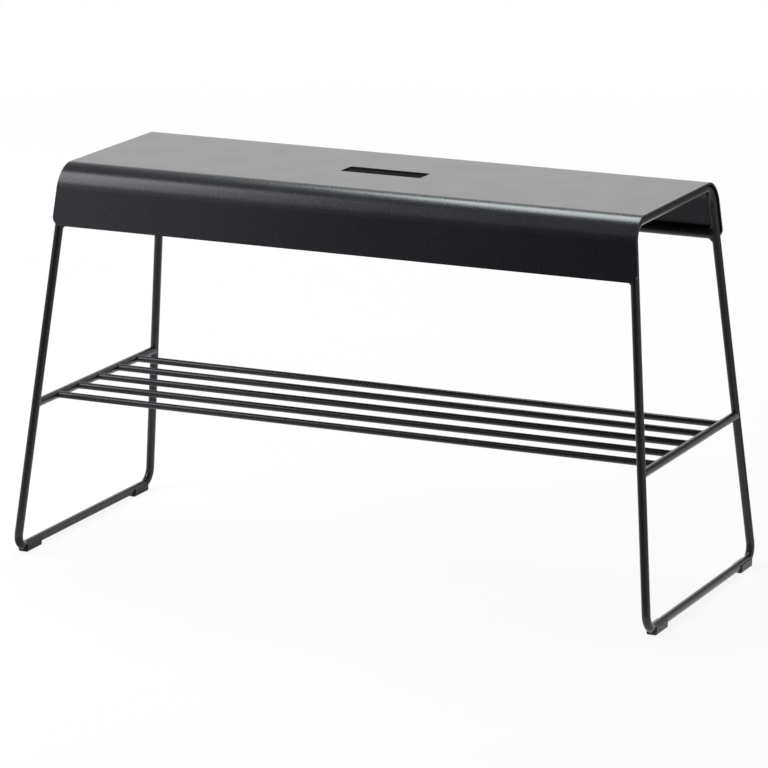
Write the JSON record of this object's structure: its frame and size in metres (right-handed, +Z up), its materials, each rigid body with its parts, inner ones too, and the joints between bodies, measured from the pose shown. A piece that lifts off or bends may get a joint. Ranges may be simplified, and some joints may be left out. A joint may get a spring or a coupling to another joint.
{
  "type": "outdoor bench",
  "caption": "Backless outdoor bench: a folded sheet seat with a grip slot over two leaning loops of bent rod, which carry a shelf of straight rods and stand on clip-on glides.",
  "frame": {"origin": "centre of the bench's footprint on the floor", "axes": "+X along the bench to the right as seen from the front, +Y from the front to the rear, +Z up"},
  "size_m": [0.8004, 0.347, 0.46],
  "materials": {
    "coated_steel": "fine-textured satin powder coat",
    "glide_plastic": "moulded satin"
  },
  "bodies": {
    "root": {"seat_sheet": "coated_steel", "left_end_loop": "coated_steel", "right_end_loop": "coated_steel", "front_stiffener_rod": "coated_steel", "rear_stiffener_rod": "coated_steel", "left_crossbar": "coated_steel", "right_crossbar": "coated_steel", "shelf_rod_1": "coated_steel", "shelf_rod_2": "coated_steel", "shelf_rod_3": "coated_steel", "shelf_rod_4": "coated_steel", "shelf_rod_5": "coated_steel", "glide_front_left": "glide_plastic", "glide_front_right": "glide_plastic", "glide_rear_left": "glide_plastic", "glide_rear_right": "glide_plastic"}
  },
  "joints": []
}
